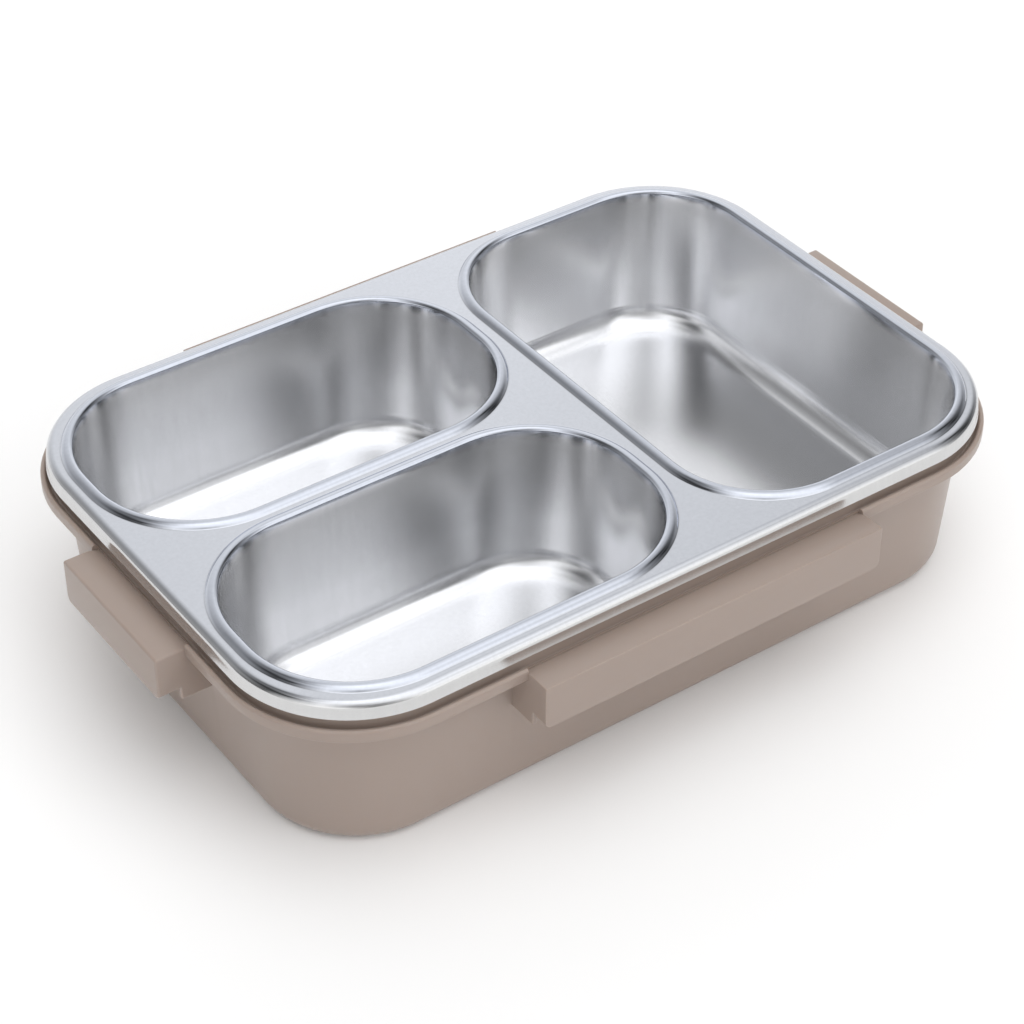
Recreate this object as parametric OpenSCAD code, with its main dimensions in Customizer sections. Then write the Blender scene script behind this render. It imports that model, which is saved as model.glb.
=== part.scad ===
// Bento lunch box, lower half: a plastic outer box and the steel food tray that hangs in it.
// Millimetres, +Z up, origin in the middle of the flat underside of the outer box.
// Cross-sections are drawn as [u, z], where u is the distance outwards from a corner's axis.

/* [Steel tray rim] */
// Length of the tray over its turned-down rim
tray_l = 262; // [218:1:330]
// Width of the tray over its turned-down rim
tray_w = 177; // [147:1:220]
// Corner radius of the rim, seen from above
rim_corner_r = 40; // [33:1:48]
// Thickness of the pressed steel sheet
sheet_t = 0.6; // [0.4:0.1:0.8]
// Outer radius of the bend from the flat land into the rim
rim_bend_r = 2.5; // [2:0.1:3]
// Height of the turned-down rim below the flat land
rim_h = 5.3; // [4:0.1:6.5]
// Height of the tray's flat land above the ground
land_z = 60; // [50:1:80]

/* [Compartments] */
// Length of the large compartment along X
main_l = 100.4; // [80:0.2:121]
// Flat land left between the beads of the large and the small compartments
cross_land_w = 2.8; // [0.8:0.1:8]
// Flat land left between the beads of the two small compartments
mid_land_w = 1.2; // [0.8:0.1:8]
// Roundness of the small compartments' corners beyond that of the large one's
small_corner_extra = 2; // [0:0.1:4]
// Gap, seen from above, between the wall of the outer box at its top and the compartments at the land
pan_gap = 0.45; // [0.3:0.05:3]
// Gap between the compartments' undersides and the outer box's floor
floor_gap = 6.8; // [3:0.1:15]
// Inward lean of a compartment wall between the land and the floor
pan_lean = 3; // [2.5:0.1:5]
// Radius between a compartment's wall and its floor
pan_floor_r = 8; // [5:0.5:12]
// Height of the rounded bead round each opening
bead_h = 1.4; // [0.8:0.1:2]
// Width of that bead
bead_w = 4.1; // [3:0.1:5]
// Radius of the bead's roll into the compartment
bead_roll_r = 1.2; // [0.8:0.1:1.4]

/* [Outer box] */
// Wall thickness of the moulding
wall_t = 2.2; // [1.6:0.1:3]
// Floor thickness of the moulding
floor_t = 2.2; // [1.8:0.1:4]
// Rim's outer face to the outer face of the wall, just under the flange
wall_setback = 4.75; // [3.95:0.05:6]
// Inward lean of the wall between the flange and the ground
wall_lean = 3.2; // [2:0.1:3.9]
// Radius between the wall and the underside
base_edge_r = 6; // [3:0.5:9]
// Reach of the flange's lip beyond the tray's rim
lip_reach = 2; // [1.5:0.1:3]
// Thickness of that lip
lip_t = 2; // [1.5:0.1:2.4]
// Height of the lip's outer face
lip_h = 4; // [3:0.1:5]
// Drop from the tray's land to the top of the lip
lip_drop = 8; // [7:0.1:9.5]
// Depth of the gutter inside the lip
gutter_d = 2; // [1:0.1:2.2]
// Thickness of the flange under the gutter
flange_t = 1.8; // [1.5:0.1:2]
// Thickness of the upright that carries the tray
upright_t = 2; // [1.6:0.1:2.2]
// Gap between the tray's rim and the upright
upright_gap = 0.8; // [0.6:0.1:1]

/* [Latch ledges] */
// Length of the ledge in the middle of each long side
long_ledge_l = 122; // [80:1:124]
// Length of the ledge in the middle of each short side
short_ledge_l = 54; // [30:1:66]
// Reach of the long ledges beyond the lip
long_ledge_reach = 8.5; // [6:0.5:12]
// Reach of the short ledges beyond the lip
short_ledge_reach = 9.5; // [6:0.5:12]
// Height of a ledge's outer face
ledge_h = 15; // [10:0.5:18]
// Drop from the lip's top to the top of a ledge
ledge_drop = 1; // [0.5:0.1:1.5]
// Wall thickness of a ledge
ledge_t = 1.8; // [1.4:0.1:2]
// Radius of the lower corners of a ledge's outer face
ledge_corner_r = 2.5; // [1:0.5:4]
// Height by which a ledge's end ribs hang below its face
rib_extra_h = 3; // [1:0.5:5]
// Reach of those ribs beyond the lip
rib_reach = 2.3; // [1:0.1:4]

/* [Hidden] */
$fn = 96;
// how far pieces of one moulding run into each other
joint = 0.4;
// straight pieces that stand for a quarter turn in a drawn cross-section
arc_steps = 6;

// rim's outer face to the nearest compartment wall
rim_margin = wall_setback + wall_t + pan_gap + sheet_t;
cross_divider_w = cross_land_w + 2 * bead_w;
mid_divider_w = mid_land_w + 2 * bead_w;
main_w = tray_w - 2 * rim_margin;
small_l = tray_l - 2 * rim_margin - cross_divider_w - main_l;
small_w = (main_w - mid_divider_w) / 2;
main_x = tray_l / 2 - rim_margin - main_l / 2;
small_x = -tray_l / 2 + rim_margin + small_l / 2;
small_y = (mid_divider_w + small_w) / 2;
// the corners share one axis; they are as round as asked for, or as the small compartments allow
small_corner_r = min(rim_corner_r - rim_margin + small_corner_extra, small_w / 2 - joint);
main_corner_r = small_corner_r - small_corner_extra;
corner_r = main_corner_r + rim_margin;
floor_z = floor_t + floor_gap + sheet_t;
pan_depth = land_z - floor_z;
// lean of a compartment's wall in degrees, and how far in from the wall's top its floor begins
pan_lean_a = atan(pan_lean / pan_depth);
pan_floor_in = pan_lean + pan_floor_r * tan(45 - pan_lean_a / 2);

lip_z = land_z - lip_drop;
gutter_z = lip_z - gutter_d;
flange_z = gutter_z - flange_t;
ledge_z = lip_z - ledge_drop;
// lean of the outer box's wall in degrees, and the rim's outer face to the edge of the flat underside
wall_lean_a = atan(wall_lean / flange_z);
underside_in = wall_setback + wall_lean + base_edge_r * tan(45 - wall_lean_a / 2);

function arc(c, r, from, to) =
    [for (i = [0 : arc_steps]) let (a = from + (to - from) * i / arc_steps) c + r * [cos(a), sin(a)]];

// a cross-section carried round a rounded rectangle
module sweep_round(l, w, r) {
    for (side = [0, 1]) {
        run = side == 0 ? l : w;
        across = side == 0 ? w : l;
        for (turn = [0, 180])
            rotate(turn + 90 * side)
                translate([-run / 2 + r, across / 2 - r, 0])
                    rotate([90, 0, 90])
                        linear_extrude(run - 2 * r) children();
    }
    for (corner = [[1, 1, 0], [-1, 1, 90], [-1, -1, 180], [1, -1, 270]])
        translate([corner.x * (l / 2 - r), corner.y * (w / 2 - r), 0])
            rotate(corner.z) rotate_extrude(angle = 90) children();
}

// flat plate with the outline of a rounded rectangle
module round_plate(l, w, r, t) {
    linear_extrude(t) {
        square([l - 2 * r, w], center = true);
        square([l, w - 2 * r], center = true);
        for (x = [-1, 1], y = [-1, 1])
            translate([x * (l / 2 - r), y * (w / 2 - r)]) circle(r);
    }
}

// ---- steel tray ----

// the turned-down rim and the flat land behind it, as far as the nearest bead
module rim_section() {
    u = corner_r;
    bend = [u - rim_bend_r, land_z - rim_bend_r];
    inner_end = u - rim_margin + bead_w - joint;
    polygon(concat(
        [[u - sheet_t, land_z - rim_h], [u, land_z - rim_h]],
        arc(bend, rim_bend_r, 0, 90),
        [[inner_end, land_z], [inner_end, land_z - sheet_t]],
        arc(bend, rim_bend_r - sheet_t, 90, 0)));
}

// bead round an opening, the wall below it and the curve into the floor, for a corner radius r
module pan_section(r) {
    roll = [r + bead_roll_r, land_z + bead_h - bead_roll_r];
    floor_curve = [r - pan_floor_in, floor_z + pan_floor_r];
    foot = r + bead_w;
    polygon(concat(
        [[foot, land_z]],
        arc(roll, bead_roll_r, 90, 180 - pan_lean_a),
        arc(floor_curve, pan_floor_r, -pan_lean_a, -90),
        arc(floor_curve, pan_floor_r + sheet_t, -90, -pan_lean_a),
        arc(roll, bead_roll_r - sheet_t, 180 - pan_lean_a, 90),
        [[foot, land_z - sheet_t]]));
}

module compartment(l, w, r) {
    sweep_round(l, w, r) pan_section(r);
    floor_in = pan_floor_in - joint;
    translate([0, 0, floor_z - sheet_t])
        round_plate(l - 2 * floor_in, w - 2 * floor_in, r - floor_in, sheet_t);
}

// hole in the land: the land stops under the bead
module land_hole(l, w, r) {
    grow = bead_w - joint;
    translate([0, 0, land_z - 2 * sheet_t])
        round_plate(l + 2 * grow, w + 2 * grow, r + grow, 3 * sheet_t);
}

module each_compartment() {
    translate([main_x, 0, 0]) children(0);
    for (side = [-1, 1]) translate([small_x, side * small_y, 0]) children(1);
}

module food_tray() {
    land_in = rim_bend_r;
    color([0.80, 0.81, 0.83]) {
        sweep_round(tray_l, tray_w, corner_r) rim_section();
        difference() {
            translate([0, 0, land_z - sheet_t])
                round_plate(tray_l - 2 * land_in, tray_w - 2 * land_in, corner_r - land_in, sheet_t);
            each_compartment() {
                land_hole(main_l, main_w, main_corner_r);
                land_hole(small_l, small_w, small_corner_r);
            }
        }
        each_compartment() {
            compartment(main_l, main_w, main_corner_r);
            compartment(small_l, small_w, small_corner_r);
        }
    }
}

// ---- outer box ----

// wall, flange, lip and upright as one moulded cross-section
module shell_section() {
    u = corner_r;
    wall_u = u - wall_setback;
    edge = [u - underside_in, base_edge_r];
    inner_r = max(base_edge_r - wall_t, 1);
    inner_edge = [wall_u - wall_lean - wall_t - inner_r * tan(45 - wall_lean_a / 2), floor_t + inner_r];
    upright_u = u - sheet_t - upright_gap;
    upright_top_r = upright_t * 0.8;
    lip_u = u + lip_reach;
    polygon(concat(
        [[edge.x - joint, 0]],
        arc(edge, base_edge_r, -90, -wall_lean_a),
        [[wall_u, flange_z], [lip_u - lip_t, flange_z], [lip_u - lip_t, lip_z - lip_h]],
        [[lip_u, lip_z - lip_h]],
        arc([lip_u - lip_t / 2, lip_z - lip_t / 2], lip_t / 2, 0, 180),
        [[lip_u - lip_t, gutter_z], [upright_u, gutter_z]],
        arc([upright_u - upright_top_r, land_z - sheet_t - upright_top_r], upright_top_r, 0, 90),
        [[upright_u - upright_t, land_z - sheet_t], [upright_u - upright_t, gutter_z]],
        [[wall_u - wall_t, gutter_z], [wall_u - wall_t, flange_z]],
        arc(inner_edge, inner_r, -wall_lean_a, -90),
        [[edge.x - joint, floor_t]]));
}

// one latch ledge, standing off the lip towards +Y: a hood, open from below
module latch_ledge(length, reach, lip_y) {
    outer_y = lip_y + reach;
    wall_y = lip_y - lip_reach - wall_setback - joint;
    face_z = ledge_z - ledge_h;
    rib_z = face_z - rib_extra_h;
    // top
    translate([-length / 2, lip_y - lip_t, ledge_z - ledge_t])
        cube([length, reach + lip_t, ledge_t]);
    // outer face, its lower corners rounded
    translate([0, outer_y, 0]) rotate([90, 0, 0]) linear_extrude(ledge_t) {
        translate([-length / 2, face_z + ledge_corner_r])
            square([length, ledge_h - ledge_corner_r]);
        translate([-length / 2 + ledge_corner_r, face_z])
            square([length - 2 * ledge_corner_r, ledge_h]);
        for (side = [-1, 1])
            translate([side * (length / 2 - ledge_corner_r), face_z + ledge_corner_r])
                circle(ledge_corner_r);
    }
    // two ends, each with its deeper rib against the wall
    for (start = [-length / 2, length / 2 - ledge_t])
        translate([start, 0, 0]) rotate([90, 0, 90]) linear_extrude(ledge_t)
            polygon([
                [wall_y, ledge_z], [outer_y, ledge_z],
                [outer_y, face_z + ledge_corner_r], [lip_y + rib_reach, face_z + ledge_corner_r],
                [lip_y + rib_reach, rib_z], [wall_y - wall_lean * (1 - rib_z / flange_z), rib_z]]);
}

module outer_box() {
    color([0.61, 0.55, 0.50]) {
        sweep_round(tray_l, tray_w, corner_r) shell_section();
        round_plate(tray_l - 2 * underside_in, tray_w - 2 * underside_in, corner_r - underside_in, floor_t);
        for (turn = [0, 180]) {
            rotate(turn) latch_ledge(long_ledge_l, long_ledge_reach, tray_w / 2 + lip_reach);
            rotate(turn + 90) latch_ledge(short_ledge_l, short_ledge_reach, tray_l / 2 + lip_reach);
        }
    }
}

outer_box();
food_tray();
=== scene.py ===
# %% [markdown]
# # An open lunch box
# A lunch box of this kind comes apart into two pieces. The outer box is moulded in plastic, with a
# flange round its top and a ledge in the middle of each side for a lid's latch. The food tray is
# pressed from one sheet of stainless steel and hangs inside it. Both outlines are rounded
# rectangles, so both pieces are made by carrying a cross-section round such a path.

import math
import bmesh
import bpy
from mathutils import Matrix, Vector


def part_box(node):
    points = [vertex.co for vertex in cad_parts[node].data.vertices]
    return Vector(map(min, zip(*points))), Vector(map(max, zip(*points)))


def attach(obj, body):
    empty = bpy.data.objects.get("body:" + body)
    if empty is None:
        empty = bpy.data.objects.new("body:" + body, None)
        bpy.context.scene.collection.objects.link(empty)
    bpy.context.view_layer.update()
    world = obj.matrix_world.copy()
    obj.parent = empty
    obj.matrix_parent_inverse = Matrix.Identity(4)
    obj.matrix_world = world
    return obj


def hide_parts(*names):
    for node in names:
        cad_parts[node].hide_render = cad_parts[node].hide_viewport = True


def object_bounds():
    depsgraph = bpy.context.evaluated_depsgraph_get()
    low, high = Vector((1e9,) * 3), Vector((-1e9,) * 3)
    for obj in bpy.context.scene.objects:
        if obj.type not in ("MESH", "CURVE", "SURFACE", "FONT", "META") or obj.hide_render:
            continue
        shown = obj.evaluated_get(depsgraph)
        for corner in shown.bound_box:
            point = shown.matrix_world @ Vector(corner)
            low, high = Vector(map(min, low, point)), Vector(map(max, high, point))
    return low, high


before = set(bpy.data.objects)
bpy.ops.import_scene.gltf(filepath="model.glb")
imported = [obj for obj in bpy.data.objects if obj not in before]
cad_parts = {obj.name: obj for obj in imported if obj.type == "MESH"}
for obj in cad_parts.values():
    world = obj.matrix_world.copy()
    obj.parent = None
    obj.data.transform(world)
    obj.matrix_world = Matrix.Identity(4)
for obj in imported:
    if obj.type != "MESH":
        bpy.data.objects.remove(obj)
cad_low, cad_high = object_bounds()
tray_low, tray_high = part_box("food_tray")
box_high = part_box("outer_box")[1]
MM = 0.001
print("whole object, mm:", [round(x / MM, 1) for x in cad_high - cad_low])

# %% [markdown]
# ## Sizes
# The frame gives the overall sizes: the tray's outline, its top, and how far the ledges stand out.
# The sizes of the details are in millimetres. Those that show, such as the corners' radii and the
# compartments, are close estimates. The hidden ones, such as the walls' thickness, are what such
# pieces usually have. Heights are above the ground, and distances called "in" run inwards from the
# outline of the tray's rim.

# %% Sizes of the steel tray
tray_l = (tray_high.x - tray_low.x) / MM
tray_w = (tray_high.y - tray_low.y) / MM
rim_corner_r = 40
sheet_t = 0.6
bead_h = 1.4
bead_w = 4.1
bead_roll_r = 1.2
land_z = tray_high.z / MM - bead_h
rim_h = 5.3
rim_bend_r = 2.5
rim_flare = 0.35

rim_margin = 8
main_l = 100.4
cross_divider_w = 11
mid_divider_w = 9.4
main_corner_r = 32
small_corner_r = 34
main_w = tray_w - 2 * rim_margin
small_l = tray_l - 2 * rim_margin - cross_divider_w - main_l
small_w = (main_w - mid_divider_w) / 2
main_x = tray_l / 2 - rim_margin - main_l / 2
small_x = -tray_l / 2 + rim_margin + small_l / 2
small_y = (mid_divider_w + small_w) / 2

pan_floor_z = tray_low.z / MM + sheet_t
pan_lean = 3
pan_floor_in = 10.57
print("compartments, mm:", [round(x, 1) for x in (main_l, main_w, small_l, small_w)])

# %% Sizes of the outer box
wall_t = 2.2
floor_t = 2.2
wall_setback = 4.75
wall_lean = 3.2
base_edge_r = 6
lip_reach = 2
lip_z = land_z - 8
lip_h = 4
gutter_z = lip_z - 2
flange_z = gutter_z - 1.8
upright_in = sheet_t + 0.8
upright_t = 2
upright_round = 1.6
ledge_z = lip_z - 1
ledge_h = 15
ledge_t = 1.8
ledge_corner_r = 2.5
rib_extra_h = 3
rib_reach = 2.3
long_ledge_l = 122
short_ledge_l = 54
long_reach = box_high.y / MM - tray_w / 2 - lip_reach
short_reach = box_high.x / MM - tray_l / 2 - lip_reach
wall_lean_a = math.degrees(math.atan(wall_lean / flange_z))
edge_turn = math.tan(math.radians(45 - wall_lean_a / 2))
underside_in = wall_setback + wall_lean + base_edge_r * edge_turn
print("ledges stand out, mm:", round(long_reach, 1), round(short_reach, 1))

# %% [markdown]
# ## Stainless steel
# One sheet has two finishes. The land, the rim and the beads keep the mill's bright finish. The
# compartment walls are stretched as the sheet is drawn down, so they turn satin, with faint upright
# draw lines. Height tells the shader which finish a point has, and stretched noise draws the lines.
# The real sheet has one colour all over. Here the land, the walls, the floors and the underside each
# have their own. That is a choice for the look and not a fact about the metal. The land's bluish grey,
# the walls' ramp from darker at the top to lighter at the foot, and the light floors are painted
# reflection and painted shade: they balance the greys of surfaces that see different parts of the light.

# %% A material to start from
def new_material(name):
    """A node material with only its Principled shader and its output, and three functions that add nodes."""
    material = bpy.data.materials.new(name)
    material.use_nodes = True
    tree = material.node_tree
    shader = tree.nodes["Principled BSDF"]

    def add(kind, inputs=None, **settings):
        made = tree.nodes.new(kind)
        for key, value in settings.items():
            setattr(made, key, value)
        for key, value in (inputs or {}).items():
            if isinstance(value, bpy.types.NodeSocket):
                tree.links.new(value, made.inputs[key])
            else:
                made.inputs[key].default_value = value
        return made

    def noise(place, scale, detail):
        """Soft noise between 0 and 1. The scale is in waves per metre."""
        inputs = {"Vector": place, "Scale": scale, "Detail": detail}
        return add("ShaderNodeTexNoise", inputs).outputs["Fac"]

    def mixed(factor, first, second, kind="RGBA"):
        inputs = {"Factor": factor, "A": first, "B": second}
        return add("ShaderNodeMix", inputs, data_type=kind).outputs["Result"]

    return material, shader, add, noise, mixed


print("helpers for materials are ready")

# %% The steel's colours and finishes
# The land, wall and floor colours are painted reflection and painted shade, not the metal's own colour.
LAND_PAINTED_REFLECTION = (0.545, 0.573, 0.64, 1)
WALL_TOP_PAINTED_SHADE = (0.64, 0.64, 0.64, 1)
WALL_FOOT_PAINTED_LIGHT = (0.89, 0.895, 0.91, 1)
PAN_FLOOR_PAINTED_LIGHT = (0.80, 0.81, 0.84, 1)
UNDERSIDE_COLOUR = (0.62, 0.625, 0.64, 1)
LAND_ROUGHNESS = 0.04
WALL_ROUGHNESS = 0.24
FLOOR_ROUGHNESS = 0.23
CLOUDY_ROUGHNESS = 0.03
DRAW_LINES_SCALE = 900
DRAW_LINES_STRETCH = 0.03
MILL_GRAIN_SCALE = 2600
CLOUDS_SCALE = 28
STEEL_RELIEF = 0.02
GRAIN_STRENGTH = 0.006
DRAW_LINES_STRENGTH = 0.06
print("roughness of the land, the walls and the floors:", LAND_ROUGHNESS, WALL_ROUGHNESS, FLOOR_ROUGHNESS)

# %% The steel's nodes
def drawn_steel():
    material, shader, add, noise, mixed = new_material("drawn stainless steel")
    tree = material.node_tree
    place = add("ShaderNodeTexCoord").outputs["Object"]
    height = add("ShaderNodeSeparateXYZ", {"Vector": place}).outputs["Z"]

    def by_height(start_z, end_z, start=0, end=1, smooth=True):
        """Runs from one value to another between two heights, which are in mm above the ground."""
        inputs = {"Value": height, "From Min": start_z * MM, "From Max": end_z * MM}
        inputs.update({"To Min": start, "To Max": end})
        kind = "SMOOTHSTEP" if smooth else "LINEAR"
        return add("ShaderNodeMapRange", inputs, interpolation_type=kind).outputs["Result"]

    below_bead = by_height(land_z + 1, land_z - 4)
    above_floor = by_height(pan_floor_z + 1, pan_floor_z + 8)
    satin = add("ShaderNodeMath", {0: below_bead, 1: above_floor}, operation="MULTIPLY").outputs[0]
    upright = add("ShaderNodeMapping", {"Vector": place, "Scale": (1, 1, DRAW_LINES_STRETCH)})
    draw_lines = noise(upright.outputs["Vector"], DRAW_LINES_SCALE, 3)
    mill_grain = noise(place, MILL_GRAIN_SCALE, 2)
    clouds = noise(place, CLOUDS_SCALE, 3)

    unworked = by_height(pan_floor_z + 8, land_z - 6, FLOOR_ROUGHNESS, LAND_ROUGHNESS)
    rough = mixed(satin, unworked, WALL_ROUGHNESS, kind="FLOAT")
    patchy = add("ShaderNodeMath", {0: clouds, 1: 0.5}, operation="SUBTRACT").outputs[0]
    cloudy = {0: patchy, 1: CLOUDY_ROUGHNESS, 2: rough}
    rough = add("ShaderNodeMath", cloudy, operation="MULTIPLY_ADD").outputs[0]
    tree.links.new(rough, shader.inputs["Roughness"])

    # Painted shade and painted reflection: the wall lightens from under the bead to its foot, the floors are
    # light and the land is a darker bluish grey.
    painted_wall_ramp = by_height(land_z - 5, land_z - 32, smooth=False)
    pan = mixed(painted_wall_ramp, WALL_TOP_PAINTED_SHADE, WALL_FOOT_PAINTED_LIGHT)
    pan = mixed(above_floor, PAN_FLOOR_PAINTED_LIGHT, pan)
    below_land = by_height(land_z + 0.6, land_z - 1.5, smooth=False)
    upper = mixed(below_land, LAND_PAINTED_REFLECTION, pan)
    underside = add("ShaderNodeAttribute", attribute_name="underside").outputs["Fac"]
    bare = mixed(underside, upper, UNDERSIDE_COLOUR)
    streak = add("ShaderNodeMapRange", {"Value": draw_lines, "To Min": 0.95, "To Max": 1.05})
    tinted = {0: bare, "Scale": streak.outputs["Result"]}
    tint = add("ShaderNodeVectorMath", tinted, operation="SCALE").outputs["Vector"]
    tree.links.new(tint, shader.inputs["Base Color"])

    relief = mixed(satin, mill_grain, draw_lines, kind="FLOAT")
    strengths = {"Value": satin, "To Min": GRAIN_STRENGTH, "To Max": DRAW_LINES_STRENGTH}
    strength = add("ShaderNodeMapRange", strengths).outputs["Result"]
    bump = add("ShaderNodeBump", {"Height": relief, "Strength": strength, "Distance": STEEL_RELIEF * MM})
    tree.links.new(bump.outputs["Normal"], shader.inputs["Normal"])
    shader.inputs["Metallic"].default_value = 1
    return material


steel = drawn_steel()
print("made", steel.name)

# %% [markdown]
# ## Moulded plastic
# The outer box is coloured right through, so its shade hardly changes. What shows is the mould's
# finish: a fine spark-eroded grain that scatters the light, and a sheen that varies a little where
# the plastic flowed. Two sizes of noise give the grain and the flow. A little subsurface scattering
# lets light into the walls. How much of it such a plastic has is a guess.

# %% The plastic's nodes
TAUPE_DARK = (0.335, 0.268, 0.232, 1)
TAUPE_LIGHT = (0.365, 0.293, 0.254, 1)
FLOW_SCALE = 22
SPARK_GRAIN_SCALE = 3200
PLASTIC_ROUGHNESS = (0.28, 0.38)
PLASTIC_RELIEF = 0.02
SPARK_GRAIN_STRENGTH = 0.1


def moulded_plastic():
    material, shader, add, noise, mixed = new_material("moulded taupe plastic")
    tree = material.node_tree
    place = add("ShaderNodeTexCoord").outputs["Object"]
    flow = noise(place, FLOW_SCALE, 4)
    grain = noise(place, SPARK_GRAIN_SCALE, 2)
    tree.links.new(mixed(flow, TAUPE_DARK, TAUPE_LIGHT), shader.inputs["Base Color"])
    smooth, rough = PLASTIC_ROUGHNESS
    sheen = add("ShaderNodeMapRange", {"Value": flow, "To Min": smooth, "To Max": rough}).outputs["Result"]
    tree.links.new(sheen, shader.inputs["Roughness"])
    relief = {"Height": grain, "Strength": SPARK_GRAIN_STRENGTH, "Distance": PLASTIC_RELIEF * MM}
    bump = add("ShaderNodeBump", relief)
    tree.links.new(bump.outputs["Normal"], shader.inputs["Normal"])
    shader.inputs["IOR"].default_value = 1.49
    shader.inputs["Subsurface Weight"].default_value = 0.25
    shader.inputs["Subsurface Radius"].default_value = (1.0, 0.7, 0.5)
    shader.inputs["Subsurface Scale"].default_value = 1.5 * MM
    return material


plastic = moulded_plastic()
print("made", plastic.name)

# %% [markdown]
# ## Drawing a cross-section
# A cross-section is a list of points. Each point is [out, up]: out is the distance outwards from
# the path, and up is the height. Round stretches are arcs, and `ease` draws a soft S, as in the
# gutter, which leaves one level and arrives at the next without a corner.

# %% Arcs and S-curves
def arc(centre, radius, start, end, steps):
    """Points on a circle, from one angle to another, in degrees."""
    angles = [math.radians(start + (end - start) * i / steps) for i in range(steps + 1)]
    x, y = centre
    return [(x + radius * math.cos(a), y + radius * math.sin(a)) for a in angles]


def ease(start, end, steps, sideways=False):
    """An S-curve that is level at both ends, or upright at both ends if it runs sideways."""
    (x, y), width, height = start, end[0] - start[0], end[1] - start[1]
    points = []
    for i in range(steps + 1):
        t = i / steps
        s = t * t * (3 - 2 * t)
        across, along = (s, t) if sideways else (t, s)
        points.append((x + width * across, y + height * along))
    return points


print("a quarter circle in two steps:", [(round(x, 2), round(y, 2)) for x, y in arc((0, 0), 1, 0, 90, 2)])

# %% [markdown]
# ## One tree that carries a cross-section round
# Geometry Nodes suit a shape that follows a rule. This tree draws a rectangle, rounds its corners,
# spaces its points evenly, and sweeps the object's own curve along it. Even spacing keeps the flat
# sides flat in a mirror finish: with one long face per side, the shading of each corner would
# spread over the whole side.

# %% The sweep tree's inputs and output
def link(tree, out_node, out_name, in_node, in_name):
    tree.links.new(out_node.outputs[out_name], in_node.inputs[in_name])


def empty_sweep_tree():
    tree = bpy.data.node_groups.new("Sweep round a rounded rectangle", "GeometryNodeTree")
    face = tree.interface
    face.new_socket("Cross-section", in_out="INPUT", socket_type="NodeSocketGeometry")
    for name in ("Length", "Width", "Corner radius", "Spacing"):
        face.new_socket(name, in_out="INPUT", socket_type="NodeSocketFloat")
    face.new_socket("Corner steps", in_out="INPUT", socket_type="NodeSocketInt")
    face.new_socket("Centre", in_out="INPUT", socket_type="NodeSocketVector")
    face.new_socket("Material", in_out="INPUT", socket_type="NodeSocketMaterial")
    face.new_socket("Mesh", in_out="OUTPUT", socket_type="NodeSocketGeometry")
    return tree


SWEEP = empty_sweep_tree()
print("sockets of the sweep tree:", [item.name for item in SWEEP.interface.items_tree])

# %% The sweep tree's nodes
WELD_DISTANCE = 0.002


def fill_sweep_tree(tree):
    def node(kind, **settings):
        made = tree.nodes.new(kind)
        for key, value in settings.items():
            setattr(made, key, value)
        return made

    given = node("NodeGroupInput")
    outline = node("GeometryNodeCurvePrimitiveQuadrilateral", mode="RECTANGLE")
    rounded = node("GeometryNodeFilletCurve", mode="POLY")
    spaced = node("GeometryNodeResampleCurve", mode="LENGTH")
    level = node("GeometryNodeSetCurveNormal", mode="Z_UP")
    swept = node("GeometryNodeCurveToMesh")
    moved = node("GeometryNodeTransform")
    welded = node("GeometryNodeMergeByDistance")
    smooth = node("GeometryNodeSetShadeSmooth")
    solid = node("GeometryNodeRealizeInstances")
    finish = node("GeometryNodeSetMaterial")
    result = node("NodeGroupOutput")

    link(tree, given, "Length", outline, "Width")
    link(tree, given, "Width", outline, "Height")
    link(tree, outline, "Curve", rounded, "Curve")
    link(tree, given, "Corner radius", rounded, "Radius")
    link(tree, given, "Corner steps", rounded, "Count")
    link(tree, rounded, "Curve", spaced, "Curve")
    link(tree, given, "Spacing", spaced, "Length")
    link(tree, spaced, "Curve", level, "Curve")
    link(tree, level, "Curve", swept, "Curve")
    link(tree, given, "Cross-section", swept, "Profile Curve")
    link(tree, swept, "Mesh", moved, "Geometry")
    link(tree, given, "Centre", moved, "Translation")
    link(tree, moved, "Geometry", welded, "Geometry")
    welded.inputs["Distance"].default_value = WELD_DISTANCE * MM
    link(tree, welded, "Geometry", smooth, "Geometry")
    link(tree, smooth, "Geometry", solid, "Geometry")
    link(tree, solid, "Geometry", finish, "Geometry")
    link(tree, given, "Material", finish, "Material")
    link(tree, finish, "Geometry", result, "Mesh")


fill_sweep_tree(SWEEP)
print("the sweep tree has", len(SWEEP.nodes), "nodes")

# %% Running the tree on one cross-section
CORNER_STEPS = 48
TRAY_SPACING = 2.4
BOX_SPACING = 3.2


def set_input(modifier, name, value):
    """Sets a tree's named input on its modifier, by the socket's identifier."""
    for item in modifier.node_group.interface.items_tree:
        if item.in_out == "INPUT" and item.name == name:
            modifier[item.identifier] = value


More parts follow.
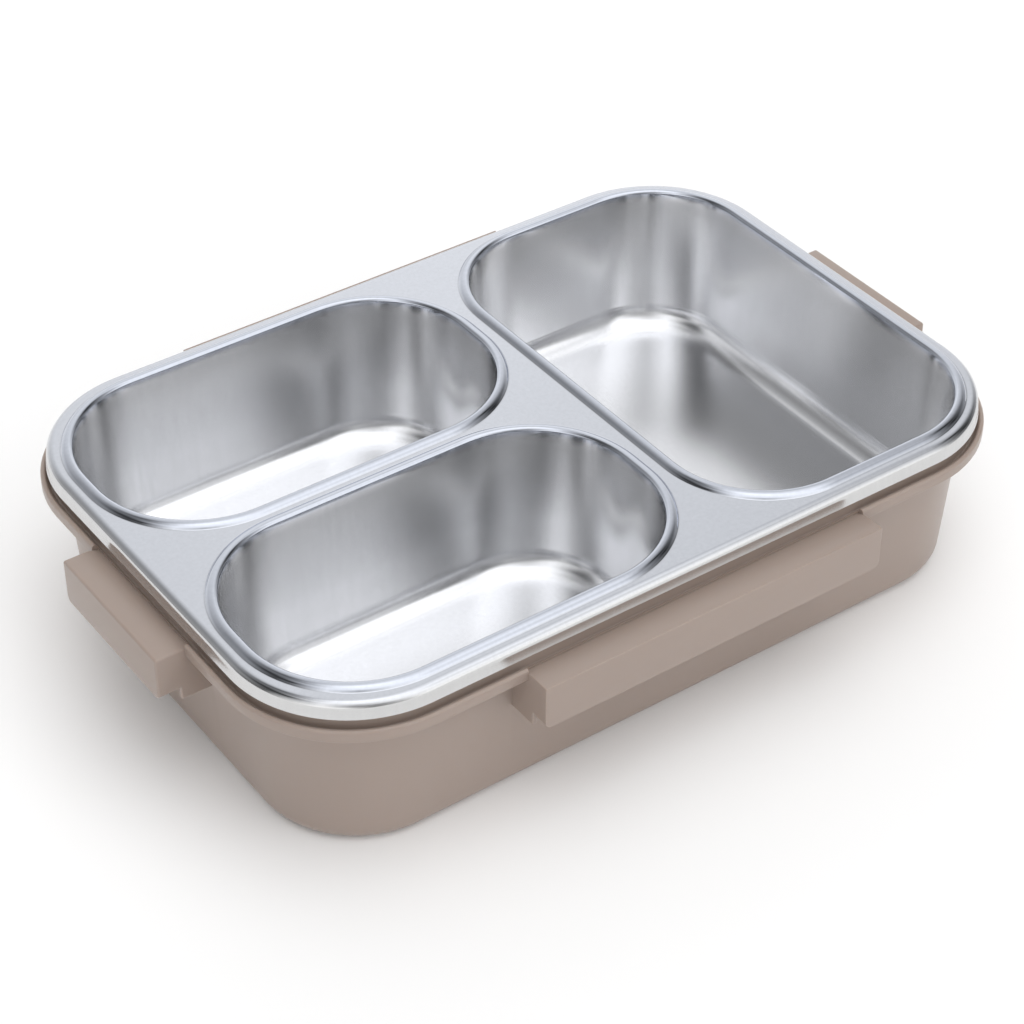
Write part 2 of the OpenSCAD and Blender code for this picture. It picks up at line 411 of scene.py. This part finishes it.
def sweep(points, length, width, corner_r, material, centre=(0, 0), spacing=TRAY_SPACING):
    """Sweeps a cross-section, in mm, round a rounded rectangle and returns the mesh, in metres.

    Up is negative in the curve, because the tree's normals make its Y axis point down.
    """
    curve = bpy.data.curves.new("cross-section", "CURVE")
    spline = curve.splines.new("POLY")
    spline.points.add(len(points) - 1)
    for target, (out, up) in zip(spline.points, points):
        target.co = (out * MM, -up * MM, 0, 1)
    carrier = bpy.data.objects.new("cross-section", curve)
    bpy.context.scene.collection.objects.link(carrier)
    modifier = carrier.modifiers.new("sweep", "NODES")
    modifier.node_group = SWEEP
    sizes = {"Length": length, "Width": width, "Corner radius": corner_r, "Spacing": spacing}
    for name, size in sizes.items():
        set_input(modifier, name, size * MM)
    set_input(modifier, "Corner steps", CORNER_STEPS)
    set_input(modifier, "Centre", (centre[0] * MM, centre[1] * MM, 0))
    set_input(modifier, "Material", material)
    graph = bpy.context.evaluated_depsgraph_get()
    mesh = bpy.data.meshes.new_from_object(carrier.evaluated_get(graph))
    bpy.data.objects.remove(carrier)
    bpy.data.curves.remove(curve)
    return mesh


print("points along a path are this far apart, mm:", TRAY_SPACING, BOX_SPACING)

# %% [markdown]
# ## The tray's cross-sections
# A pressed sheet has the same thickness everywhere, so only its upper face is drawn, and the sheet
# is given its thickness at the end. Two cross-sections make the tray. One runs round the rim: a
# stretch of flat land, the bend, and the turned-down edge, which flares a little. The other runs
# round each opening: land, bead, wall, and the large curve into the floor. Each ends in a short flat
# ring, which keeps flat surfaces flat.

# %% The rim, drawn from the inside out
land_ring = 0.2


def rim_section():
    bend = (-rim_flare - rim_bend_r, land_z - rim_bend_r)
    low = land_z - rim_h
    skirt = []
    for i in range(1, 7):
        t = i / 6
        skirt.append((-rim_flare * (1 - t * t), bend[1] + (low - bend[1]) * t))
    return [(bend[0] - land_ring, land_z)] + arc(bend, rim_bend_r, 90, 0, 12) + skirt


print("points in the rim's cross-section:", len(rim_section()))

# %% [markdown]
# ## The bead and the compartment
# The bead stiffens the edge of each opening. Its crest rolls over into the wall, and its outer flank
# is one round arc that meets the land in a tight curve. The wall leans in a little, so that the punch
# comes out. In the large compartment a crease 0.08 mm deep runs round just above the floor curve, as a
# deep draw may leave it. Its depth is a guess.

# %% The compartment, drawn from the floor up to the land
bead_foot_r = 0.5
crease_h = 0.8
floor_ring = 1
bead_ring = 0.3
large_crease = (6.8, 0.08)
small_crease = (7.5, 0.0)


def bead_flank():
    """The bead's round outer flank, from its crest down to the tight curve that ends on the land."""
    flank_w = bead_w - bead_roll_r
    slope = 2 * math.degrees(math.atan(bead_h / flank_w))
    flank_r = flank_w / math.sin(math.radians(slope)) - bead_foot_r
    flank = arc((bead_roll_r, land_z + bead_h - flank_r), flank_r, 90, 90 - slope, 9)
    return flank + arc((bead_w, land_z + bead_foot_r), bead_foot_r, 270 - slope, 270, 4)[1:]


def compartment_section(crease_z, crease_in):
    """Floor curve, wall and bead. The floor curve ends crease_z above the floor, with a crease or not."""
    lean_a = math.degrees(math.atan(pan_lean / (land_z - pan_floor_z)))
    slope = math.tan(math.radians(lean_a))
    roll = (bead_roll_r, land_z + bead_h - bead_roll_r)
    curve_top_z = pan_floor_z + crease_z
    crease_top_z = curve_top_z + crease_h

    def wall(z):
        return (slope * (z - roll[1]), z)

    curve_top = (wall(curve_top_z)[0] - crease_in, curve_top_z)
    rise, run = crease_z, pan_floor_in + curve_top[0]
    floor_r = (run * run + rise * rise) / (2 * rise)
    curve_end = math.degrees(math.asin((rise - floor_r) / floor_r))
    floor_curve = arc((-pan_floor_in, pan_floor_z + floor_r), floor_r, -90, curve_end, 14)
    wall_h = roll[1] - crease_top_z - crease_h
    straight = [wall(crease_top_z + wall_h * i / 4) for i in range(1, 5)]
    bead = arc(roll, bead_roll_r, 180 - lean_a, 90, 8) + bead_flank()[1:]
    crease = ease(curve_top, wall(crease_top_z), 6, sideways=True)[1:] if crease_in else []
    return ([(-pan_floor_in - floor_ring, pan_floor_z)] + floor_curve + crease + straight + bead
            + [(bead_w + bead_ring, land_z)])


print("points in a compartment's cross-section:", len(compartment_section(*large_crease)))

# %% [markdown]
# ## Pressing the tray
# The swept rings are joined, the land is filled between them and each floor is closed. Filling the
# rings' own edges leaves no crack, which two separately drawn outlines would. Solidify then gives
# the sheet its thickness downwards, so the upper face stays where it was drawn. It also puts the new
# faces in a second material slot, and that becomes a face attribute, which tells the steel's shader
# where the underside is. Angles sharper than a limit stay sharp, and all the others are smoothed.

# %% Joining rings, finding edges, applying modifiers
SAME_HEIGHT = 1e-6


def joined(meshes):
    form = bmesh.new()
    for mesh in meshes:
        form.from_mesh(mesh)
        bpy.data.meshes.remove(mesh)
    return form


def open_edges(form, z):
    """The open edges that lie at one height, given in mm."""
    borders = [edge for edge in form.edges if edge.is_boundary]
    return [edge for edge in borders if all(abs(v.co.z - z * MM) < SAME_HEIGHT for v in edge.verts)]


def plain_mesh(carrier):
    """The mesh of an object with its modifiers applied; the object itself is removed."""
    graph = bpy.context.evaluated_depsgraph_get()
    mesh = bpy.data.meshes.new_from_object(carrier.evaluated_get(graph))
    bpy.data.objects.remove(carrier)
    return mesh


def triangles(piece):
    return sum(len(face.vertices) - 2 for face in piece.data.polygons)


def show(name, mesh):
    piece = bpy.data.objects.new(name, mesh)
    bpy.context.scene.collection.objects.link(piece)
    return piece


def shade(mesh, sharp_from, material):
    """One smooth material all over, with the edges that turn by more than sharp_from degrees kept sharp."""
    mesh.materials.clear()
    mesh.materials.append(material)
    for face in mesh.polygons:
        face.use_smooth = True
        face.material_index = 0
    mesh.set_sharp_from_angle(angle=math.radians(sharp_from))


print("helpers for meshes are ready")

# %% The pressed tray
TRAY_SHARP_FROM = 38


def tray_rings():
    """The rim's ring and one ring for each compartment."""
    large, small = compartment_section(*large_crease), compartment_section(*small_crease)
    rings = [sweep(rim_section(), tray_l, tray_w, rim_corner_r, steel),
             sweep(large, main_l, main_w, main_corner_r, steel, centre=(main_x, 0))]
    for side in (-1, 1):
        rings.append(sweep(small, small_l, small_w, small_corner_r, steel, centre=(small_x, side * small_y)))
    return rings


def pressed_tray():
    form = joined(tray_rings())
    bmesh.ops.triangle_fill(form, use_beauty=True, edges=open_edges(form, land_z), normal=(0, 0, 1))
    bmesh.ops.edgeloop_fill(form, edges=open_edges(form, pan_floor_z))
    bmesh.ops.recalc_face_normals(form, faces=form.faces)
    lowest = min(form.faces, key=lambda face: face.calc_center_median().z)
    if lowest.normal.z < 0:
        bmesh.ops.reverse_faces(form, faces=form.faces)
    mesh = bpy.data.meshes.new("pressed tray")
    form.to_mesh(mesh)
    form.free()
    mesh.materials.append(steel)
    mesh.materials.append(steel)
    carrier = show("sheet", mesh)
    sheet = carrier.modifiers.new("sheet thickness", "SOLIDIFY")
    sheet.thickness = sheet_t * MM
    sheet.offset = -1
    sheet.use_even_offset = True
    sheet.material_offset = 1
    mesh = plain_mesh(carrier)
    is_under = [float(face.material_index) for face in mesh.polygons]
    mesh.attributes.new("underside", "FLOAT", "FACE").data.foreach_set("value", is_under)
    shade(mesh, TRAY_SHARP_FROM, steel)
    return mesh


tray = show("pressed_steel_tray", pressed_tray())
print("tray triangles:", triangles(tray))

# %% [markdown]
# ## The outer box's cross-section
# One closed line goes up the outside and down the inside: underside, wall, flange, lip, the gutter
# that catches drips, the upright edge that carries the tray, and the inner wall. Moulded plastic has
# no knife edges, so every corner that shows is a small arc.

# %% Shell, drawn from the underside round to the inner floor
nook_r = 0.8
lip_edge_r = 0.5
lip_crest_r = 0.9
gutter_r = 0.5
floor_overlap = 1.2


def shell_section():
    edge = (-underside_in, base_edge_r)
    under_flange = arc((-wall_setback + nook_r, flange_z - nook_r), nook_r, 180, 90, 4)
    lip_low = lip_z - lip_h
    lip_edge = arc((lip_reach - lip_edge_r, lip_low + lip_edge_r), lip_edge_r, -90, 0, 5)
    crest = arc((lip_reach - lip_crest_r, lip_z - lip_crest_r), lip_crest_r, 0, 110, 9)
    gutter = ease(crest[-1], (-0.7, gutter_z), 8)[1:]
    drip = arc((-upright_in + gutter_r, gutter_z + gutter_r), gutter_r, 270, 180, 5)
    top = land_z - sheet_t
    seat = arc((-upright_in - upright_round, top - upright_round), upright_round, 0, 90, 8)
    inner_x = -upright_in - upright_t
    inner_r = base_edge_r - wall_t
    inner_edge = (-wall_setback - wall_lean - wall_t - inner_r * edge_turn, floor_t + inner_r)
    return ([(edge[0] - floor_overlap, 0)] + arc(edge, base_edge_r, -90, -wall_lean_a, 12) + under_flange
            + [(-0.2, flange_z), (0.1, lip_low)] + lip_edge + crest + gutter + drip + seat
            + [(inner_x, top), (inner_x, gutter_z), (-wall_setback - wall_t, gutter_z)]
            + [(-wall_setback - wall_t, flange_z)] + arc(inner_edge, inner_r, -wall_lean_a, -90, 8)
            + [(inner_edge[0] - floor_overlap, floor_t)])


print("points in the shell's cross-section:", len(shell_section()))

# %% [markdown]
# ## Prisms and booleans
# The ledges for the lid's latches are too angular for a sweep, so they are cut from prisms. Booleans
# add, take away and cross such blocks the way a mould is cut. A bevel rounds a block's edges, and it
# works best while the block is still solid: on a thin wall its width would be clamped.

# %% Making and combining prisms
BEVEL_STEPS = 4
BEVEL_FROM = 35


def prism(outline, start, end, along):
    """A prism on an outline in mm. Along "x" the outline is [y, z], and along "y" it is [x, z]."""
    form = bmesh.new()
    rings = []
    for t in (start, end):
        spots = [(t, a, b) if along == "x" else (a, t, b) for a, b in outline]
        rings.append([form.verts.new(Vector(spot) * MM) for spot in spots])
    first, last = rings
    form.faces.new(first)
    form.faces.new(last)
    for i in range(len(outline)):
        j = (i + 1) % len(outline)
        form.faces.new((first[i], first[j], last[j], last[i]))
    bmesh.ops.recalc_face_normals(form, faces=form.faces)
    mesh = bpy.data.meshes.new("prism")
    form.to_mesh(mesh)
    form.free()
    return mesh


def combine(mesh, operation, *tools):
    """The mesh after each tool is added, taken away or crossed with it."""
    for tool in tools:
        carrier, cutter = show("work", mesh), show("tool", tool)
        boolean = carrier.modifiers.new("cut", "BOOLEAN")
        boolean.operation = operation
        boolean.solver = "EXACT"
        boolean.object = cutter
        mesh = plain_mesh(carrier)
        bpy.data.objects.remove(cutter)
    return mesh


def rounded(mesh, radius):
    """The mesh with its sharp edges rounded to a radius in mm."""
    carrier = show("work", mesh)
    edges = carrier.modifiers.new("moulded edges", "BEVEL")
    edges.width = radius * MM
    edges.segments = BEVEL_STEPS
    edges.limit_method = "ANGLE"
    edges.angle_limit = math.radians(BEVEL_FROM)
    return plain_mesh(carrier)


print("bevels are made in steps:", BEVEL_STEPS)

# %% [markdown]
# ## Latch ledges
# A ledge is a hood: a top that rises from the gutter, an outer face with rounded lower corners, and
# two ends whose ribs run down the wall. A prism with the side view is crossed with a prism with the
# front view, its edges are rounded, the ribs are added, and the hollow is taken out from below. One
# function makes all four, with the side's own length and reach.

# %% One ledge, standing off the lip towards +Y
hood_edge_r = 1.1
rib_edge_r = 0.6
ledge_root = 0.6
beyond = 5


def latch_ledge(length, reach, side_y):
    half = length / 2
    outer_y = side_y + lip_reach + reach
    wall_y = side_y - wall_setback - ledge_root
    face_z = ledge_z - ledge_h
    rib_z = face_z - rib_extra_h
    rib_y = side_y + lip_reach + rib_reach
    rib_wall_y = wall_y - wall_lean * (1 - rib_z / flange_z)
    low = ledge_corner_r
    side_view = [(wall_y, face_z), (outer_y, face_z), (outer_y, ledge_z), (side_y + 3.2, ledge_z),
                 (side_y - 0.4, gutter_z - 0.2), (wall_y, gutter_z - ledge_root)]
    front_view = ([(-half, ledge_z + beyond)] + arc((-half + low, face_z + low), low, 180, 270, 6)
                  + arc((half - low, face_z + low), low, 270, 360, 6) + [(half, ledge_z + beyond)])
    front_prism = prism(front_view, 0, outer_y + beyond, "y")
    hood = rounded(combine(prism(side_view, -half, half, "x"), "INTERSECT", front_prism), hood_edge_r)

    rib_top_z = flange_z + 0.5
    rib_view = [(wall_y, rib_top_z), (rib_y, rib_top_z), (rib_y, rib_z), (rib_wall_y, rib_z)]
    rib_prisms = [prism(rib_view, start, start + ledge_t, "x") for start in (-half, half - ledge_t)]
    hood = combine(hood, "UNION", *[rounded(rib, rib_edge_r) for rib in rib_prisms])

    hollow_y, hollow_z = outer_y - ledge_t, ledge_z - ledge_t
    hollow = [(0, 0), (hollow_y, 0), (hollow_y, hollow_z), (0, hollow_z)]
    return combine(hood, "DIFFERENCE", prism(hollow, -half + ledge_t, half - ledge_t, "x"))


def turned(mesh, degrees):
    mesh.transform(Matrix.Rotation(math.radians(degrees), 4, "Z"))
    return mesh


LONG_LEDGE = (long_ledge_l, long_reach, tray_w / 2)
SHORT_LEDGE = (short_ledge_l, short_reach, tray_l / 2)
LEDGES = {0: LONG_LEDGE, 180: LONG_LEDGE, 90: SHORT_LEDGE, 270: SHORT_LEDGE}
print("ledges to make:", len(LEDGES))

# %% [markdown]
# ## Moulding the outer box
# The shell is swept and closed at the bottom, inside and outside. On the real box the lip stops at
# each ledge, so a stretch of it is cut away there before the ledge is merged with the shell.

# %% The moulded outer box
BOX_SHARP_FROM = 35
gap_margin = 0.3


def lip_gap(length, side_y):
    """A block over the stretch of lip that a ledge takes the place of."""
    inner_y, outer_y = side_y - 0.1, side_y + lip_reach + 1
    low_z, high_z = gutter_z - 0.1, lip_z + 1
    outline = [(inner_y, low_z), (outer_y, low_z), (outer_y, high_z), (inner_y, high_z)]
    return prism(outline, -length / 2 + gap_margin, length / 2 - gap_margin, "x")


def moulded_box():
    form = joined([sweep(shell_section(), tray_l, tray_w, rim_corner_r, plastic, spacing=BOX_SPACING)])
    bmesh.ops.edgeloop_fill(form, edges=open_edges(form, 0))
    bmesh.ops.edgeloop_fill(form, edges=open_edges(form, floor_t))
    bmesh.ops.recalc_face_normals(form, faces=form.faces)
    mesh = bpy.data.meshes.new("outer box")
    form.to_mesh(mesh)
    form.free()
    for degrees, (length, reach, side_y) in LEDGES.items():
        mesh = combine(mesh, "DIFFERENCE", turned(lip_gap(length, side_y), degrees))
        mesh = combine(mesh, "UNION", turned(latch_ledge(length, reach, side_y), degrees))
    shade(mesh, BOX_SHARP_FROM, plastic)
    return mesh


outer_box = show("moulded_outer_box", moulded_box())
print("outer box triangles:", triangles(outer_box))

# %% [markdown]
# ## Riding on the frame
# The two meshes stand for the two CAD solids. Each rides on its body, so the tray lifts out and the
# box stays on the table.

# %% Bodies, slots and what is replaced
RIDERS = [(outer_box, "outer_box", "moulded_plastic"), (tray, "food_tray", "stainless_steel")]
for piece, body, slot in RIDERS:
    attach(piece, body)
    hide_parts(body)
    print(piece.name, "rides on", body)

# %% [markdown]
# ## Floor
# A wide pale disc stands for the studio's floor. Its edge is far outside the view, and a little glow
# of its own brings it nearer to white.

# %% A pale floor
FLOOR_RADIUS = 6
FLOOR_GLOW = 0.04
FLOOR_GREY = (0.91, 0.91, 0.912, 1)
FLOOR_WHITE = (0.93, 0.93, 0.93, 1)
FLOOR_SIDES = 96


def pale_floor():
    material, shader, add, noise, mixed = new_material("pale floor")
    place = add("ShaderNodeTexCoord").outputs["Object"]
    shade_of_white = mixed(noise(place, 3, 2), FLOOR_GREY, FLOOR_WHITE)
    material.node_tree.links.new(shade_of_white, shader.inputs["Base Color"])
    shader.inputs["Roughness"].default_value = 0.9
    shader.inputs["Emission Color"].default_value = (1, 1, 1, 1)
    shader.inputs["Emission Strength"].default_value = FLOOR_GLOW
    form = bmesh.new()
    bmesh.ops.create_circle(form, cap_ends=True, radius=FLOOR_RADIUS, segments=FLOOR_SIDES)
    mesh = bpy.data.meshes.new("floor")
    form.to_mesh(mesh)
    form.free()
    mesh.materials.append(material)
    return show("floor", mesh)


floor = pale_floor()
print("floor radius, m:", FLOOR_RADIUS)

# %% [markdown]
# ## A tent of light
# Bright metal shows its surroundings, so the light is mostly about what the steel can see. Studios put
# such an object in a white tent, with bright panels and dark gaps between them. The gaps draw the dark
# lines along the beads and the upright streaks in the corners of the compartments.
#
# The tent is five rings of soft panels, drawn in the world's shader: each ring is a ramp of
# brightness round the object, and the rings are blended by elevation. Each row below gives a ring's
# elevation, the azimuth of its first panel and its panels' brightness. Azimuth 0 is towards -Y, and it
# grows towards +X.

# %% The tent's panels
TENT = [
    (6, 0, [0.5, 1.2, 1.05, 0.3, 0.15, 0.4, 0.8, 0.9, 0.75,
            0.85, 0.7, 0.45, 0.2, 0.15, 0.8, 1.15, 1.1, 0.25]),
    (25, 11.25, [1.05, 1.2, 0.3, 0.02, 0.2, 0.8, 1.08, 0.85,
                 0.6, 0.35, 0.3, 0.1, 0.6, 1.1, 0.35, 0.35]),
    (45, 0, [1.15, 1.3, 0.5, 0.0, 0.6, 0.86, 0.6, 0.3, 0.05, 0.05, 1.1, 0.6]),
    (65, 22.5, [1.35, 1.25, 1.05, 0.85, 0.12, 0.3, 1.2, 1.25]),
    (88, 0, [1.45]),
]
TENT_STRENGTH = 1.22
print("tent panels:", sum(len(ring) for _, _, ring in TENT))

# %% One ring of the tent
def fill_ramp(ramp, first, ring):
    """Puts a ring's panels on a colour ramp that meets itself where azimuth 360 is 0 again."""
    stops = ramp.color_ramp.elements
    step = 1 / len(ring)
    ends = first / 360 / step
    seam = ring[0] * (1 - ends) + ring[-1] * ends if first else ring[0]
    stops[0].position, stops[1].position = 0, 1
    stops[0].color = stops[1].color = (seam, seam, seam, 1)
    for i, brightness in enumerate(ring):
        if first or i:
            stops.new(first / 360 + i * step).color = (brightness, brightness, brightness, 1)


print("rings in the tent, at degrees:", [elevation for elevation, _, _ in TENT])

# %% The tent's shader
def light_tent(rings):
    """A world whose brightness is blended between rings of panels at given elevations."""
    world = bpy.data.worlds.new("light tent")
    bpy.context.scene.world = world
    world.use_nodes = True
    tree = world.node_tree

    def maths(operation, *values):
        node = tree.nodes.new("ShaderNodeMath")
        node.operation = operation
        for socket, value in zip(node.inputs, values):
            if isinstance(value, bpy.types.NodeSocket):
                tree.links.new(value, socket)
            else:
                socket.default_value = value
        return node.outputs[0]

    split = tree.nodes.new("ShaderNodeSeparateXYZ")
    link(tree, tree.nodes.new("ShaderNodeTexCoord"), "Generated", split, "Vector")
    x, y, z = (split.outputs[axis] for axis in "XYZ")
    turn = maths("ARCTAN2", x, maths("MULTIPLY", y, -1))
    azimuth = maths("FRACT", maths("ADD", maths("DIVIDE", turn, 2 * math.pi), 1))
    elevation = maths("ARCSINE", z)
    total, below = None, None
    for height, first, ring in rings:
        ramp = tree.nodes.new("ShaderNodeValToRGB")
        tree.links.new(azimuth, ramp.inputs["Fac"])
        fill_ramp(ramp, first, ring)
        if total is None:
            total = ramp.outputs["Color"]
        else:
            rise = tree.nodes.new("ShaderNodeMapRange")
            rise.interpolation_type = "SMOOTHSTEP"
            tree.links.new(elevation, rise.inputs["Value"])
            rise.inputs["From Min"].default_value = math.radians(below)
            rise.inputs["From Max"].default_value = math.radians(height)
            blend = tree.nodes.new("ShaderNodeMix")
            blend.data_type = "RGBA"
            tree.links.new(rise.outputs["Result"], blend.inputs["Factor"])
            tree.links.new(total, blend.inputs["A"])
            tree.links.new(ramp.outputs["Color"], blend.inputs["B"])
            total = blend.outputs["Result"]
        below = height
    tree.links.new(total, tree.nodes["Background"].inputs["Color"])
    tree.nodes["Background"].inputs["Strength"].default_value = TENT_STRENGTH


light_tent(TENT)
print("made the", bpy.context.scene.world.name)

# %% [markdown]
# ## A lamp overhead
# One very soft lamp overhead lights only what scatters light, which is the plastic and the floor. It is
# hidden from reflections, so that it draws no spot on the steel.

# %% The overhead lamp
LAMP_STRENGTH = 0.65
LAMP_SPREAD = 70


def overhead_lamp():
    lamp = bpy.data.lights.new("overhead_lamp", "SUN")
    lamp.energy = LAMP_STRENGTH
    lamp.angle = math.radians(LAMP_SPREAD)
    made = bpy.data.objects.new("overhead_lamp", lamp)
    made.location = (0, 0, 2)
    made.visible_glossy = False
    bpy.context.scene.collection.objects.link(made)


overhead_lamp()
print("lamp strength and spread, degrees:", LAMP_STRENGTH, LAMP_SPREAD)

# %% [markdown]
# ## Camera
# A long lens from well above the front left corner keeps the sides nearly parallel. The camera is
# placed by its direction from the point it looks at, which is near the middle of the box. The Standard
# view keeps whites white and the greys of the steel as they are rendered.

# %% The camera and the view
CAMERA_AZIMUTH = -35.36
CAMERA_ELEVATION = 38.5
CAMERA_DISTANCE = 0.8251
CAMERA_LENS = 95.24
AIM_FROM_MIDDLE = Vector((-12.5, -14.5, 5.3))


def aimed_camera(azimuth, elevation, distance, aim, lens):
    a, e = math.radians(azimuth), math.radians(elevation)
    back = Vector((math.sin(a) * math.cos(e), -math.cos(a) * math.cos(e), math.sin(e)))
    camera = bpy.data.objects.new("camera", bpy.data.cameras.new("camera"))
    camera.data.lens = lens
    camera.data.clip_start = 0.01
    camera.location = aim + back * distance
    camera.rotation_mode = "QUATERNION"
    camera.rotation_quaternion = (-back).to_track_quat("-Z", "Y")
    bpy.context.scene.collection.objects.link(camera)
    bpy.context.scene.camera = camera
    return camera


aim = (cad_low + cad_high) / 2 + AIM_FROM_MIDDLE * MM
camera = aimed_camera(CAMERA_AZIMUTH, CAMERA_ELEVATION, CAMERA_DISTANCE, aim, CAMERA_LENS)
bpy.context.scene.view_settings.view_transform = "Standard"
print("camera at, m:", [round(x, 3) for x in camera.location])

# %% [markdown]
# ## The size
# The frame's overall size is printed, in mm. The visible model has to stay inside the
# frame's box.

# %% Sizes, and the end
print("CAD, mm:", [round(x / MM, 2) for x in cad_high - cad_low])
